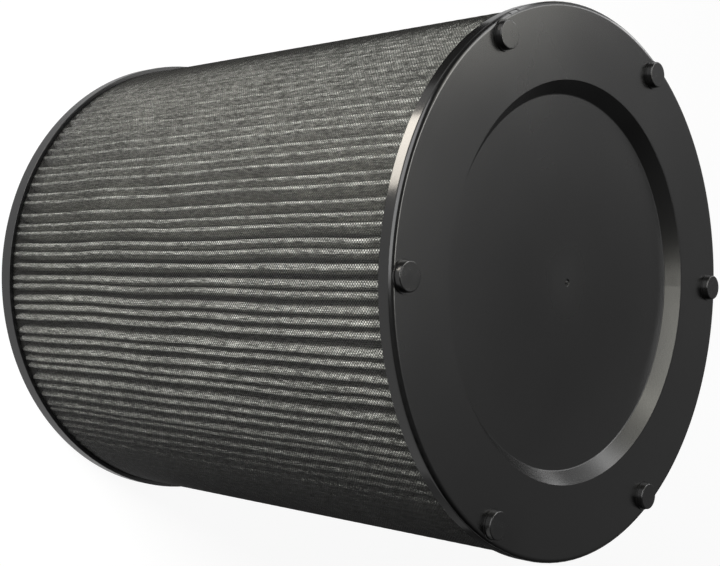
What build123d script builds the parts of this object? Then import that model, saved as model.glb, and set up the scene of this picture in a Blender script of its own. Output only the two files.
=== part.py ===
import math
import os

from build123d import *

os.makedirs("parts", exist_ok=True)

# Frame: the origin is the middle of the seal's lower face and +Z runs along the axis to the closed cap.
# All lengths are in millimetres and all angles are in degrees.

# The two moulded ends
cap_radius = 140.0
cap_skirt_wall = 1.2
ring_skirt_wall = 2.2
end_to_end = 316.5
plate_thickness = 2.5
cap_skirt_depth = 7.5
ring_skirt_depth = 10.0
edge_round = 1.5
lip_round = 0.4

# The shallow dish in the closed cap, with its moulding gate mark
dish_depth = 7.1
dish_slope = 44.4
dish_wall = 2.2
dish_clearance = 0.3
dish_rim_round = 1.0
dish_floor_round = 0.8
gate_well_radius = 2.0
gate_well_depth = 0.6
gate_nib_radius = 0.7
gate_nib_height = 0.3

# Six rubber pads in shallow seats
pad_count = 6
pad_edge_gap = 0.8
pad_height = 3.6
pad_flange_radius = 7.6
pad_flange_height = 0.7
pad_body_radius = 7.0
pad_face_radius = 6.8
pad_edge_round = 0.6
pad_seat_depth = 0.5
pad_seat_clearance = 0.1

# The lattice tube in the middle
core_wall = 2.5
core_hoop = 13.0
core_rib = 5.0
core_window_widest = 31.5
core_window_rows = 6

# The collar of the open ring, which stands inside the lattice tube
collar_clearance = 0.3
collar_wall = 2.2
collar_height = 6.0

# The foam seal in its groove
seal_proud = 4.0
seal_groove_depth = 1.0
seal_inset = 2.0
seal_width = 17.0
seal_clearance = 0.2

# The cast adhesive stops this far short of each skirt's edge
glue_below_edge = 1.5

# The carbon felt and the pleated sheet
felt_thickness = 3.0
layer_clearance = 0.2
fold_depth = 29.3
sheet_thickness = 1.0
fold_gap = 1.0
pleat_pitch = 6.3
pleat_unevenness = 0.13
seam_bead_depth = 9.0

# The net sleeve, drawn tight over the folds
sleeve_wall = 0.6
sleeve_clearance = 0.1
sleeve_thread = 2.2
sleeve_window_widest = 30.0
sleeve_window_rows = 4
sleeve_hem = 4.0
sleeve_seam_width = 8.0

# Radii from the outside in
skirt_bore_radius = cap_radius - cap_skirt_wall
ring_radius = skirt_bore_radius + ring_skirt_wall
pad_circle_radius = cap_radius - pad_edge_gap - pad_flange_radius
sleeve_radius = skirt_bore_radius - sleeve_clearance
fold_tip_radius = sleeve_radius - sleeve_wall - sleeve_clearance
fold_root_radius = fold_tip_radius - fold_depth
felt_radius = fold_root_radius - layer_clearance
core_radius = felt_radius - felt_thickness
core_bore_radius = core_radius - core_wall
collar_radius = core_bore_radius - collar_clearance
outlet_radius = collar_radius - collar_wall

# The seal's groove, just outside the outlet
seal_groove_inner = outlet_radius + seal_inset
seal_groove_outer = seal_groove_inner + seal_width

# Levels along the axis
ring_under = seal_proud
ring_floor = ring_under + plate_thickness
ring_skirt_top = ring_under + ring_skirt_depth
cap_top = ring_under + end_to_end
cap_under = cap_top - plate_thickness
cap_skirt_bottom = cap_top - cap_skirt_depth
lower_glue_top = ring_skirt_top - glue_below_edge
upper_glue_bottom = cap_skirt_bottom + glue_below_edge
stack_height = upper_glue_bottom - lower_glue_top

# The folds: how many fit round the outside, and one step between them
pleat_count = round(2 * math.pi * fold_tip_radius / pleat_pitch)
pleat_step = 360.0 / pleat_count
fold_half_gap = fold_gap / 2
fold_half_width = fold_half_gap + sheet_thickness


def at(radius, angle, aside=0.0):
    """A point at a radius and an angle, moved aside along its circle by a length."""
    turn = math.radians(angle) + aside / radius
    return (radius * math.cos(turn), radius * math.sin(turn))


def fold_angle(index):
    """The angle of one outer fold, uneven by a small share of the step."""
    shift = math.sin(index * 2.4) + 0.6 * math.sin(index * 1.1 + 0.7)
    return (index + 0.5 + pleat_unevenness * shift) * pleat_step


def root_angle(index):
    """The angle of the inner fold before an outer fold; the first and last are the seam."""
    if index in (0, pleat_count):
        return index * pleat_step
    return (fold_angle(index - 1) + fold_angle(index)) / 2


def sheet_outline():
    """The folded sheet seen along the axis: its outer face out and round, its inner face back."""
    outer_root_radius = fold_root_radius + sheet_thickness
    inner_tip_radius = fold_tip_radius - sheet_thickness
    outer_face = []
    inner_face = []
    for index in range(pleat_count):
        first_radius = fold_root_radius if index == 0 else outer_root_radius
        last_radius = fold_root_radius if index == pleat_count - 1 else outer_root_radius
        before = root_angle(index)
        middle = fold_angle(index)
        after = root_angle(index + 1)
        outer_face.append(at(first_radius, before, fold_half_gap))
        outer_face.append(at(fold_tip_radius, middle, -fold_half_width))
        outer_face.append(at(fold_tip_radius, middle, fold_half_width))
        outer_face.append(at(last_radius, after, -fold_half_gap))
        inner_face.append(at(fold_root_radius, before, fold_half_width))
        inner_face.append(at(inner_tip_radius, middle, -fold_half_gap))
        inner_face.append(at(inner_tip_radius, middle, fold_half_gap))
        inner_face.append(at(fold_root_radius, after, -fold_half_width))
    return outer_face + inner_face[::-1]


def along(start, end, distance):
    """The point on a straight flank at a distance from its start."""
    share = distance / math.dist(start, end)
    return (start[0] + (end[0] - start[0]) * share, start[1] + (end[1] - start[1]) * share)


def circles_by_height(part):
    """A turned part's round edges, in groups from the lowest to the highest."""
    return part.edges().filter_by(GeomType.CIRCLE).group_by(Axis.Z)


# The closed cap: plate, skirt and dish in one moulding, turned about the axis
slope = math.tan(math.radians(dish_slope))
dish_under_radius = core_bore_radius - dish_clearance
dish_wall_across = dish_wall / math.cos(math.radians(dish_slope))
dish_rim_radius = dish_under_radius - dish_wall_across + plate_thickness * slope
dish_floor_radius = dish_rim_radius - dish_depth * slope
dish_floor = cap_top - dish_depth
dish_under = dish_floor - dish_wall
dish_under_floor_radius = dish_under_radius - (cap_under - dish_under) * slope

with BuildPart() as closed_cap:
    with BuildSketch(Plane.XZ):
        with BuildLine():
            Polyline(
                (cap_radius, cap_skirt_bottom),
                (cap_radius, cap_top),
                (dish_rim_radius, cap_top),
                (dish_floor_radius, dish_floor),
                (0, dish_floor),
                (0, dish_under),
                (dish_under_floor_radius, dish_under),
                (dish_under_radius, cap_under),
                (skirt_bore_radius, cap_under),
                (skirt_bore_radius, cap_skirt_bottom),
                close=True,
            )
        make_face()
    revolve(axis=Axis.Z)
    fillet(circles_by_height(closed_cap)[-1].sort_by(SortBy.RADIUS)[-1], edge_round)
    fillet(circles_by_height(closed_cap)[-1].sort_by(SortBy.RADIUS)[0], dish_rim_round)
    dish_floor_face = closed_cap.faces().filter_by(Plane.XY).sort_by_distance((0, 0, dish_floor))[0]
    fillet(dish_floor_face.edges(), dish_floor_round)
    with BuildSketch(Plane.XY.offset(dish_floor)):
        Circle(gate_well_radius)
    extrude(amount=-gate_well_depth, mode=Mode.SUBTRACT)
    with BuildSketch(Plane.XY.offset(dish_floor - gate_well_depth)):
        Circle(gate_nib_radius)
    extrude(amount=gate_well_depth + gate_nib_height)
    with BuildSketch(Plane.XY.offset(cap_top)):
        with PolarLocations(pad_circle_radius, pad_count):
            Circle(pad_flange_radius + pad_seat_clearance)
    extrude(amount=-pad_seat_depth, mode=Mode.SUBTRACT)
closed_cap.part.label = "closed_cap"
export_step(closed_cap.part, "parts/closed_cap.step")

# The pads: a flange in the seat and a stub with a rounded face, alike all round
pad_bottom = cap_top - pad_seat_depth
for number, place in enumerate(PolarLocations(pad_circle_radius, pad_count), start=1):
    with BuildPart() as pad:
        with BuildSketch(Plane(origin=place.position, x_dir=(1, 0, 0), z_dir=(0, -1, 0))):
            with BuildLine():
                Polyline(
                    (0, pad_bottom),
                    (pad_flange_radius, pad_bottom),
                    (pad_flange_radius, cap_top + pad_flange_height),
                    (pad_body_radius, cap_top + pad_flange_height),
                    (pad_face_radius, cap_top + pad_height),
                    (0, cap_top + pad_height),
                    close=True,
                )
            make_face()
        revolve(axis=Axis(place.position, (0, 0, 1)))
        fillet(pad.edges().group_by(Axis.Z)[-1], pad_edge_round)
    pad.part.label = f"pad_{number}"
    export_step(pad.part, f"parts/pad_{number}.step")

# The open ring: plate, skirt, collar and seal groove in one moulding, turned about the axis
collar_top = ring_floor + collar_height
with BuildPart() as open_ring:
    with BuildSketch(Plane.XZ):
        with BuildLine():
            Polyline(
                (outlet_radius, ring_under),
                (seal_groove_inner, ring_under),
                (seal_groove_inner, ring_under + seal_groove_depth),
                (seal_groove_outer, ring_under + seal_groove_depth),
                (seal_groove_outer, ring_under),
                (ring_radius, ring_under),
                (ring_radius, ring_skirt_top),
                (skirt_bore_radius, ring_skirt_top),
                (skirt_bore_radius, ring_floor),
                (collar_radius, ring_floor),
                (collar_radius, collar_top),
                (outlet_radius, collar_top),
                close=True,
            )
        make_face()
    revolve(axis=Axis.Z)
    fillet(circles_by_height(open_ring)[0].sort_by(SortBy.RADIUS)[-1], edge_round)
    fillet(circles_by_height(open_ring)[-1].sort_by(SortBy.RADIUS)[-1], lip_round)
open_ring.part.label = "open_ring"
export_step(open_ring.part, "parts/open_ring.step")

# The foam seal, pressed into the groove and proud of the ring
with BuildPart() as foam_seal:
    with BuildSketch():
        Circle(seal_groove_outer - seal_clearance)
        Circle(seal_groove_inner + seal_clearance, mode=Mode.SUBTRACT)
    extrude(amount=ring_under + seal_groove_depth)
foam_seal.part.label = "foam_seal"
export_step(foam_seal.part, "parts/foam_seal.step")

# The adhesive cast in each end, which holds the pleats, the felt and the sleeve
for name, bottom, top in (
    ("ring_adhesive", ring_floor, lower_glue_top),
    ("cap_adhesive", upper_glue_bottom, cap_under),
):
    with BuildPart() as adhesive:
        with BuildSketch(Plane.XY.offset(bottom)):
            Circle(skirt_bore_radius)
            Circle(core_radius, mode=Mode.SUBTRACT)
        extrude(amount=top - bottom)
    adhesive.part.label = name
    export_step(adhesive.part, f"parts/{name}.step")

# The lattice tube: one moulding from plate to plate, with rows of windows between its hoops
core_columns = math.ceil(2 * math.pi * core_radius / (core_window_widest + core_rib))
core_window_width = 2 * math.pi * core_radius / core_columns - core_rib
core_row_pitch = (cap_under - ring_floor - 2 * core_hoop + core_rib) / core_window_rows
core_window_height = core_row_pitch - core_rib
with BuildPart() as inner_core:
    with BuildSketch(Plane.XY.offset(ring_floor)):
        Circle(core_radius)
        Circle(core_bore_radius, mode=Mode.SUBTRACT)
    extrude(amount=cap_under - ring_floor)
    for row in range(core_window_rows):
        with BuildSketch(Plane.XY.offset(ring_floor + core_hoop + row * core_row_pitch)):
            with PolarLocations(core_bore_radius + core_wall / 2, core_columns):
                Rectangle(3 * core_wall, core_window_width)
        extrude(amount=core_window_height, mode=Mode.SUBTRACT)
inner_core.part.label = "inner_core"
export_step(inner_core.part, "parts/inner_core.step")

# The carbon felt, wrapped on the lattice tube
with BuildPart() as carbon_felt:
    with BuildSketch(Plane.XY.offset(lower_glue_top)):
        Circle(felt_radius)
        Circle(core_radius, mode=Mode.SUBTRACT)
    extrude(amount=stack_height)
carbon_felt.part.label = "carbon_felt"
export_step(carbon_felt.part, "parts/carbon_felt.step")

# The pleated sheet: one folded strip, whose two ends lie side by side at the seam
with BuildPart() as pleated_media:
    with BuildSketch(Plane.XY.offset(lower_glue_top)):
        with BuildLine():
            Polyline(*sheet_outline(), close=True)
        make_face()
    extrude(amount=stack_height)
pleated_media.part.label = "pleated_media"
export_step(pleated_media.part, "parts/pleated_media.step")

# The bead of adhesive between the sheet's two ends
first_root = at(fold_root_radius, 0, fold_half_gap)
first_tip = at(fold_tip_radius, fold_angle(0), -fold_half_width)
last_root = at(fold_root_radius, 360, -fold_half_gap)
last_tip = at(fold_tip_radius, fold_angle(pleat_count - 1), fold_half_width)
with BuildPart() as seam_bead:
    with BuildSketch(Plane.XY.offset(lower_glue_top)):
        with BuildLine():
            Polyline(
                first_root,
                along(first_root, first_tip, seam_bead_depth),
                along(last_root, last_tip, seam_bead_depth),
                last_root,
                close=True,
            )
        make_face()
    extrude(amount=stack_height)
seam_bead.part.label = "seam_bead"
export_step(seam_bead.part, "parts/seam_bead.step")

# The net sleeve: threads round and along it, each row of gaps half a gap from the last, and a welded seam
sleeve_girth = 2 * math.pi * sleeve_radius
sleeve_columns = math.ceil(sleeve_girth / (sleeve_window_widest + sleeve_thread))
sleeve_window_width = sleeve_girth / sleeve_columns - sleeve_thread
sleeve_row_pitch = (stack_height - 2 * sleeve_hem + sleeve_thread) / sleeve_window_rows
sleeve_window_height = sleeve_row_pitch - sleeve_thread
with BuildPart() as net_sleeve:
    with BuildSketch(Plane.XY.offset(lower_glue_top)):
        Circle(sleeve_radius)
        Circle(sleeve_radius - sleeve_wall, mode=Mode.SUBTRACT)
    extrude(amount=stack_height)
    for row in range(sleeve_window_rows):
        half_step = (row % 2) * 180.0 / sleeve_columns
        with BuildSketch(Plane.XY.offset(lower_glue_top + sleeve_hem + row * sleeve_row_pitch)):
            with PolarLocations(sleeve_radius - sleeve_wall / 2, sleeve_columns, start_angle=half_step):
                Rectangle(6 * sleeve_wall, sleeve_window_width)
            with Locations((sleeve_radius, 0)):
                Rectangle(8 * sleeve_wall, sleeve_seam_width, mode=Mode.SUBTRACT)
        extrude(amount=sleeve_window_height, mode=Mode.SUBTRACT)
net_sleeve.part.label = "net_sleeve"
export_step(net_sleeve.part, "parts/net_sleeve.step")
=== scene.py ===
# %% [markdown]
# # A pleated air filter, dressed round its CAD model
#
# The filter is a drum. A long strip of charcoal cloth is folded into 138 deep pleats and stands in a
# circle between two black moulded ends. A fine knitted net is drawn over the folds, and six rubber pads
# sit on the closed end. The CAD model holds every piece at its real size. This script loads it as a fixed
# frame and adds what the eye sees: the light, the finish of each surface, soft folds and the knitted net.

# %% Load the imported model
import math

import bpy
from mathutils import Matrix, Vector


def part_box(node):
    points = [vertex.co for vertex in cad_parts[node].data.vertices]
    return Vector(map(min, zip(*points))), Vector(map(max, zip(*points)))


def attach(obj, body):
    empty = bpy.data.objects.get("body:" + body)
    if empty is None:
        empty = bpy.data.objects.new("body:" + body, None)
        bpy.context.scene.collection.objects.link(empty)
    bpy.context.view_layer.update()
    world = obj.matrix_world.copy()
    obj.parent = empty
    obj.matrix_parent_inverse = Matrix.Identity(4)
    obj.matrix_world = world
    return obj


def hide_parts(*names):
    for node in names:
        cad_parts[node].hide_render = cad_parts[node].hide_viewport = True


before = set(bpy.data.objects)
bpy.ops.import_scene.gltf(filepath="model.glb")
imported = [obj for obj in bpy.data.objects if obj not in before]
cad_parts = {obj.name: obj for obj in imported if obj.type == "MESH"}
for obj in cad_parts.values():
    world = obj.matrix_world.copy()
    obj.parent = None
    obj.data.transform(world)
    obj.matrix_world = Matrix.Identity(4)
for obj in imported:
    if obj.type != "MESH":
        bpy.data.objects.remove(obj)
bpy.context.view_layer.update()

MM = 0.001

# %% [markdown]
# Two helpers serve every cell. Colours are written as the sRGB hex values that a colour picker shows, and
# Blender's shaders want linear light, so one function converts them. The other adds one node to a tree,
# with its settings, and fills its sockets. A socket takes a value, an output of another node, or just the
# node, and then that node's first output in use feeds it.

# %% Helpers for colours and nodes
def linear(code):
    """The linear RGBA of an sRGB colour such as #1c1c1c."""
    shares = [int(code[start:start + 2], 16) / 255 for start in (1, 3, 5)]
    return (*[s / 12.92 if s <= 0.04045 else ((s + 0.055) / 1.055) ** 2.4 for s in shares], 1.0)


def add(tree, kind, sockets=None, **settings):
    """Adds one node. sockets maps an input's name or number to a value, an output or a node."""
    node = tree.nodes.new(kind)
    for name, value in settings.items():
        setattr(node, name, value)
    for key, value in (sockets or {}).items():
        if isinstance(value, bpy.types.Node):
            value = next(output for output in value.outputs if output.enabled)
        if isinstance(value, bpy.types.NodeSocket):
            tree.links.new(value, node.inputs[key])
        else:
            node.inputs[key].default_value = value
    return node


# %% [markdown]
# The photograph looks down on the closed end from the side, from about 85 cm, with the camera rolled a
# quarter turn, so the drum's axis runs from left to right across the picture. Three choices fix the
# camera: where it stands, the point on the axis that it looks at, and which way is up in the picture.
# The net's holes are only three pixels wide there. Cycles cleans up its noise with guide pictures, and when
# it smooths those first, so fine a pattern is wiped away with the noise. So that first step is off.

# %% Camera
camera_place = Vector((-0.5253, -0.0063, 0.6742))
camera_aim = Vector((0.0, -0.0021, 0.1673))
picture_up = Vector((-0.0204, 0.9997, -0.0128))
lens_mm = 61.9
sensor_mm = 36.0

looking = (camera_aim - camera_place).normalized()
to_right = looking.cross(picture_up).normalized()
to_top = to_right.cross(looking)
camera_data = bpy.data.cameras.new("camera")
camera_data.lens = lens_mm
camera_data.sensor_width = sensor_mm
camera_data.sensor_fit = "HORIZONTAL"
camera = bpy.data.objects.new("camera", camera_data)
turn = Matrix((to_right, to_top, -looking)).transposed().to_4x4()
camera.matrix_world = Matrix.Translation(camera_place) @ turn
bpy.context.scene.collection.objects.link(camera)
bpy.context.scene.camera = camera
bpy.context.scene.view_settings.view_transform = "Standard"
bpy.context.scene.cycles.denoising_prefilter = "NONE"
print("camera looks down by", round(math.degrees(math.asin(-looking.z)), 1), "degrees")

# %% [markdown]
# The background is pure white. A floor that is only lit never gets there without burning out the drum, so
# the floor shines towards the camera and still shows part of the real light on it, which keeps the drum's
# soft shadow. Mirrored rays see it bright too, with more of the real light and shade on it. As a lit
# surface it is grey, because light thrown back by a white floor would fill every dark groove.

# %% Floor
floor_size = 8.0
floor_glow = 0.85
mirrored_glow = 0.52
glow_strength = 1.1

half = floor_size / 2
floor_mesh = bpy.data.meshes.new("floor")
floor_corners = [(-half, -half, 0), (half, -half, 0), (half, half, 0), (-half, half, 0)]
floor_mesh.from_pydata(floor_corners, [], [(0, 1, 2, 3)])
floor = bpy.data.objects.new("floor", floor_mesh)
bpy.context.scene.collection.objects.link(floor)

paint = bpy.data.materials.new("white paper floor")
paint.use_nodes = True
tree = paint.node_tree
tree.nodes.clear()
rays = add(tree, "ShaderNodeLightPath")
mirrored = add(tree, "ShaderNodeMath", {
    0: rays.outputs["Is Glossy Ray"], 1: rays.outputs["Is Transmission Ray"],
}, operation="ADD", use_clamp=True)
share = add(tree, "ShaderNodeMath", {0: mirrored, 1: mirrored_glow}, operation="MULTIPLY")
share = add(tree, "ShaderNodeMath", {
    0: rays.outputs["Is Camera Ray"], 1: floor_glow, 2: share,
}, operation="MULTIPLY_ADD")
tone = add(tree, "ShaderNodeMix", {
    "Factor": rays.outputs["Is Camera Ray"], "A": linear("#7d7d7d"), "B": linear("#f2f2f2"),
}, data_type="RGBA")
lit = add(tree, "ShaderNodeBsdfDiffuse", {"Color": tone})
glow = add(tree, "ShaderNodeEmission", {"Color": linear("#ffffff"), "Strength": glow_strength})
mix = add(tree, "ShaderNodeMixShader", {0: share, 1: lit, 2: glow})
add(tree, "ShaderNodeOutputMaterial", {"Surface": mix})
floor.data.materials.append(paint)
print("floor", floor_size, "m")

# %% [markdown]
# A photographer of black plastic lays dark cards beside it. The upright skirt of the closed end mirrors
# the floor, and without cards it would be one even grey. Three cards lie just above the floor, all out of
# the picture: a black one at the top side, and two greys at the bottom side. They leave a bright stretch in
# front with deep black beside it. The cards show only in mirrored rays: they throw no shadow and take no
# light off the cloth. So they shine with their own dark tone instead of waiting for light.

# %% Dark cards
card_height = 4 * MM
for name, tone, (low_x, high_x, low_y, high_y) in (
    ("black card", "#020202", (-0.13, 0.20, 0.27, 2.2)),
    ("charcoal card", "#737373", (-0.12, 0.14, -2.2, -0.24)),
    ("dark card", "#323232", (0.14, 2.5, -2.2, 0.06)),
):
    paper = bpy.data.materials.new(name)
    paper.use_nodes = True
    tree = paper.node_tree
    tree.nodes.clear()
    even = add(tree, "ShaderNodeEmission", {"Color": linear(tone), "Strength": 1.0})
    add(tree, "ShaderNodeOutputMaterial", {"Surface": even})
    corners = [(low_x, low_y, card_height), (high_x, low_y, card_height), (high_x, high_y, card_height),
               (low_x, high_y, card_height)]
    mesh = bpy.data.meshes.new(name)
    mesh.from_pydata(corners, [], [(0, 1, 2, 3)])
    mesh.materials.append(paper)
    card = bpy.data.objects.new(name, mesh)
    bpy.context.scene.collection.objects.link(card)
    card.visible_camera = False
    card.visible_diffuse = False
    card.visible_shadow = False
print("three dark cards")

# %% [markdown]
# Black plastic has almost no colour of its own: what it shows is the room, mirrored at about a
# twentieth of its brightness. So the room matters as much as the lamps. The world is a dim studio under a
# ceiling that gets brighter towards the top of the picture, so the flat face of the closed end gets a soft
# fall of light. Behind the camera, and past the top of the picture, the room is dark. Each span is measured
# along a direction, from -1 straight against it to 1 straight along it.

# %% World: a dim room with a soft ceiling
ROOM_LIGHT = 0.05
ROOM_DARK = 0.05
ROOM_PLAIN = 0.27
ROOM_CEILING = 1.6
ROOM_SPAN = (-0.35, 0.2)
CEILING_SPAN = (0.36, 0.95)
CEILING_EDGE = (0.25, 0.42)
DIM_SIDE = 0.5
GAP_SPAN = (0.19, 0.3)
GAP_LIGHT = 0.05
CEILING_SIDE = Vector((-0.05, 0.66, 0.75)).normalized()
GAP_SIDE = Vector((-0.3, 0.75, -0.59)).normalized()

world = bpy.data.worlds.new("studio")
bpy.context.scene.world = world
world.use_nodes = True
tree = world.node_tree
tree.nodes.clear()
way = add(tree, "ShaderNodeTexCoord").outputs["Generated"]
rise = add(tree, "ShaderNodeVectorMath", {0: way, 1: CEILING_SIDE}, operation="DOT_PRODUCT")
room = add(tree, "ShaderNodeMapRange", {
    "Value": rise, "From Min": ROOM_SPAN[0], "From Max": ROOM_SPAN[1], "To Min": ROOM_DARK,
    "To Max": ROOM_PLAIN,
})
ceiling = add(tree, "ShaderNodeMapRange", {
    "Value": rise, "From Min": CEILING_SPAN[0], "From Max": CEILING_SPAN[1], "To Min": 0.0,
    "To Max": ROOM_CEILING,
})
across = add(tree, "ShaderNodeSeparateXYZ", {0: way}).outputs
end = add(tree, "ShaderNodeMapRange", {
    "Value": across["X"], "From Min": CEILING_EDGE[0], "From Max": CEILING_EDGE[1],
})
ceiling = add(tree, "ShaderNodeMath", {0: ceiling, 1: end}, operation="MULTIPLY")
dim = add(tree, "ShaderNodeMapRange", {"Value": end, "To Min": DIM_SIDE, "To Max": 1.0})
room = add(tree, "ShaderNodeMath", {0: room, 1: dim}, operation="MULTIPLY")
room = add(tree, "ShaderNodeMath", {0: room, 1: ceiling}, operation="ADD")
beyond = add(tree, "ShaderNodeVectorMath", {0: way, 1: GAP_SIDE}, operation="DOT_PRODUCT")
edge = add(tree, "ShaderNodeMapRange", {
    "Value": beyond, "From Min": GAP_SPAN[0], "From Max": GAP_SPAN[1], "To Min": 1.0, "To Max": GAP_LIGHT,
}, interpolation_type="SMOOTHSTEP")
room = add(tree, "ShaderNodeMath", {0: room, 1: edge}, operation="MULTIPLY")
print("room from", ROOM_DARK, "to", ROOM_PLAIN + ROOM_CEILING)

# %% [markdown]
# A rounded rim gathers the whole room into a line two pixels wide. What the eye reads as a crisp edge is a
# thin light line, a black line beside it and the bright skirt. So the room holds one long narrow strip
# light with an arm along the top, and one window low behind the camera. The gap between them is the
# black line. The flat face looks past both of them.

# %% World: a strip light and a window
ROOM_STRIP = 4.0
ROOM_WINDOW = 4.5

edges = {}
for name, axis, begin, end, low, high in (
    ("strip near", "X", 0.40, 0.46, 0.0, 1.0),
    ("strip far", "X", 0.52, 0.61, 1.0, 0.0),
    ("strip start", "Y", -0.1, 0.02, 0.0, ROOM_STRIP),
    ("arm start", "Y", 0.34, 0.39, 0.0, 1.0),
    ("arm stop", "Y", 0.44, 0.5, 1.0, 0.0),
    ("window side", "X", -0.33, -0.46, 0.0, 1.0),
    ("window sill", "Y", -0.1, 0.08, 0.0, 1.0),
    ("window lintel", "Z", 0.7, 0.78, ROOM_WINDOW, 0.0),
):
    edges[name] = add(tree, "ShaderNodeMapRange", {
        "Value": across[axis], "From Min": begin, "From Max": end, "To Min": low, "To Max": high,
    }, interpolation_type="SMOOTHSTEP")
strip = add(tree, "ShaderNodeMath", {0: edges["strip near"], 1: edges["strip far"]}, operation="MULTIPLY")
arm = add(tree, "ShaderNodeMath", {0: edges["arm start"], 1: edges["arm stop"]}, operation="MULTIPLY")
arm = add(tree, "ShaderNodeMath", {0: arm, 1: edges["strip near"]}, operation="MULTIPLY")
strip = add(tree, "ShaderNodeMath", {0: strip, 1: arm}, operation="MAXIMUM")
room = add(tree, "ShaderNodeMath", {0: strip, 1: edges["strip start"], 2: room}, operation="MULTIPLY_ADD")
window = add(tree, "ShaderNodeMath", {0: edges["window side"], 1: edges["window sill"]},
             operation="MULTIPLY")
room = add(tree, "ShaderNodeMath", {
    0: window, 1: edges["window lintel"], 2: room,
}, operation="MULTIPLY_ADD")
print("strip light", ROOM_STRIP, "and window", ROOM_WINDOW)

# %% [markdown]
# Mirrored rays see this room in full. Matt surfaces get only a twentieth of it, or it would fill the dark
# grooves between the folds. The camera itself sees plain white.

# %% World: which rays see the room
rays = add(tree, "ShaderNodeLightPath")
mirrored = add(tree, "ShaderNodeMath", {
    0: rays.outputs["Is Glossy Ray"], 1: rays.outputs["Is Transmission Ray"],
}, operation="ADD", use_clamp=True)
level = add(tree, "ShaderNodeMapRange", {"Value": mirrored, "To Min": ROOM_LIGHT, "To Max": 1.0})
strength = add(tree, "ShaderNodeMath", {0: room, 1: level}, operation="MULTIPLY")
shown = add(tree, "ShaderNodeMix", {
    "Factor": rays.outputs["Is Camera Ray"], "A": strength, "B": 1.0,
}, data_type="FLOAT")
sky = add(tree, "ShaderNodeBackground", {"Color": linear("#ffffff"), "Strength": shown})
add(tree, "ShaderNodeOutputWorld", {"Surface": sky})
print("world has", len(tree.nodes), "nodes")

# %% [markdown]
# Four soft boxes shape the drum. The key stands on the camera's side, towards the top of the picture, and
# lights the folds across their creases, so each crease gets a bright line and a darker flank. The other
# three are small and only show in mirrored rays. The low one is the warm white patch on the skirt of the
# closed end. The slope lamp and the bar above the cap light the sloping wall of its dish.

# %% Soft boxes
def soft_box(name, place, aim, width, height, watts, tint):
    """A rectangular lamp at a place that faces a point. The camera doesn't see it."""
    data = bpy.data.lights.new(name, "AREA")
    data.shape = "RECTANGLE"
    data.size = width
    data.size_y = height
    data.energy = watts
    data.color = linear(tint)[:3]
    lamp = bpy.data.objects.new(name, data)
    lamp.location = place
    lamp.rotation_euler = (Vector(aim) - Vector(place)).to_track_quat("-Z", "Y").to_euler()
    lamp.visible_camera = False
    bpy.context.scene.collection.objects.link(lamp)
    return lamp


bar_turn = 61
key = soft_box("key", place=(-1.3, 0.98, 0.5), aim=(0.0, 0.0, 0.16), width=0.7, height=0.5, watts=60.0,
               tint="#fffefc")
key.visible_glossy = False
low = soft_box("low", place=(-0.305, 0.305, 0.05), aim=(-0.13, 0.06, 0.317), width=0.21, height=0.08,
               watts=0.7, tint="#fff7ea")
low.visible_diffuse = False
slope = soft_box("slope", place=(0.14, 0.27, 0.6), aim=(0.05, -0.08, 0.317), width=0.4, height=0.12,
                 watts=0.3, tint="#fffdf2")
slope.visible_diffuse = False
bar = soft_box("bar", place=(0.01, 0.095, 0.55), aim=(0.01, 0.095, 0.0), width=0.25, height=0.07,
               watts=0.28, tint="#fffdf2")
bar.rotation_euler = (0.0, 0.0, math.radians(bar_turn))
bar.visible_diffuse = False

# %% [markdown]
# Now the finishes. Every one reads Object coordinates, which are metres from the middle of the seal here,
# so each pattern gets its scale from a real size. The relief goes into a Bump node whose Distance is the
# real depth of the grain. A noise seldom leaves the stretch from 0.3 to 0.7, so that stretch is spread over
# a range of sheens. The first helper opens an empty material and hands out its place socket. The second
# mixes a dark and a pale colour by a pattern and leads them, with the shader's other sockets, to the output.

# %% Helpers that start and end a finish
NOISE_LOW = 0.3
NOISE_HIGH = 0.7


def start_finish(name):
    """A new material, its empty tree and the output that gives a place on the piece in metres."""
    finish = bpy.data.materials.new(name)
    finish.use_nodes = True
    finish.node_tree.nodes.clear()
    place = add(finish.node_tree, "ShaderNodeTexCoord").outputs["Object"]
    return finish, finish.node_tree, place


def end_finish(tree, pattern, dark, pale, sockets):
    """The last nodes of a finish: its two colours mixed by a pattern, the shader and the output."""
    colours = {"Factor": pattern, "A": linear(dark), "B": linear(pale)}
    shade = add(tree, "ShaderNodeMix", colours, data_type="RGBA")
    shader = add(tree, "ShaderNodeBsdfPrincipled", {"Base Color": shade, **sockets})
    add(tree, "ShaderNodeOutputMaterial", {"Surface": shader})


# %% [markdown]
# The closed cap is moulded ABS. Its tool was polished and then lightly blasted, which gives the eye a dark
# satin sheen: soft broad reflections and hardly any colour of its own. Under the grain lie long shallow
# waves from the flow of the melt, which bend a reflection a little. The melt came in at the gate in the
# middle, and the plastic round it set last, so there the sheen is a shade duller.

# %% Moulded ABS of the cap: grain, flow and sheen
abs_grain = 0.9 * MM
abs_grain_depth = 0.004 * MM
abs_flow = 45.0 * MM
abs_flow_depth = 0.05 * MM
gate_halo = 22.0 * MM
gate_dullness = 0.06
abs_satin = (0.22, 0.28)

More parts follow.
